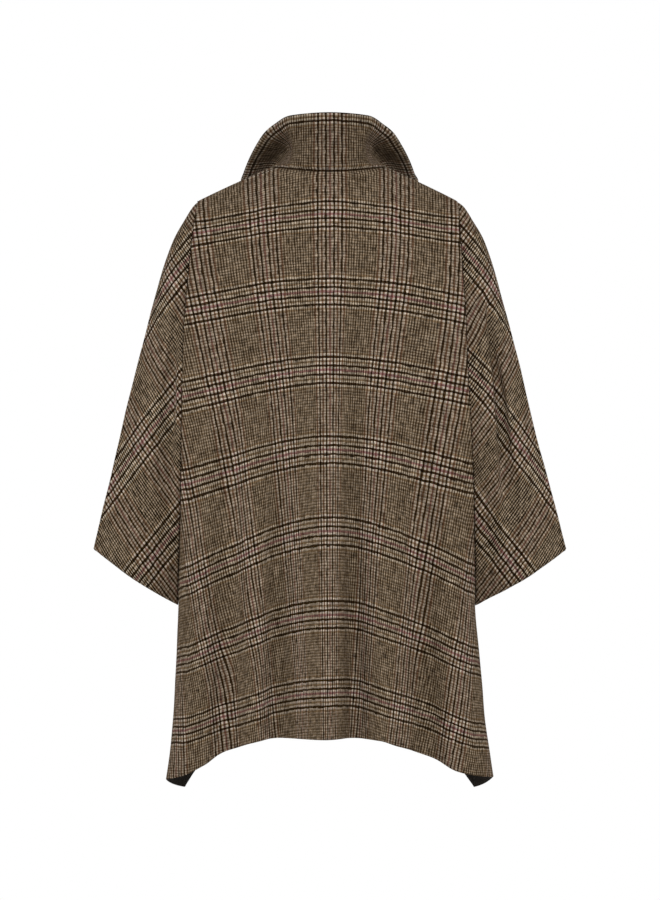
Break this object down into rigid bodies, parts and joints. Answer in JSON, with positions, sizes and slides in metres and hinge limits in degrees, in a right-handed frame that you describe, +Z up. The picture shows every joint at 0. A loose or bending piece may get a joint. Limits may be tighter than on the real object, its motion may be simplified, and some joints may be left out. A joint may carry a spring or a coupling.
{
  "type": "cape",
  "caption": "Flared hip-length cape in checked wool with wide cape sleeves, a standing spread collar and a lapped front, in the hollow form it takes on a wearer.",
  "frame": {"origin": "middle of the neck opening at the height of the nape seam, where the wearer's neck and shoulders carry the cape", "axes": "+Z up along the wearer, front towards -Y, the wearer's left towards +X"},
  "size_m": [0.7111, 0.336, 1.0168],
  "materials": {
    "body_cloth": "brushed wool check, dark reverse",
    "collar_cloth": "brushed wool check"
  },
  "bodies": {
    "root": {"back": "body_cloth", "front_left": "body_cloth", "front_right": "body_cloth", "sleeve_left": "body_cloth", "sleeve_right": "body_cloth", "collar_under": "collar_cloth", "collar_upper": "collar_cloth"}
  },
  "joints": []
}
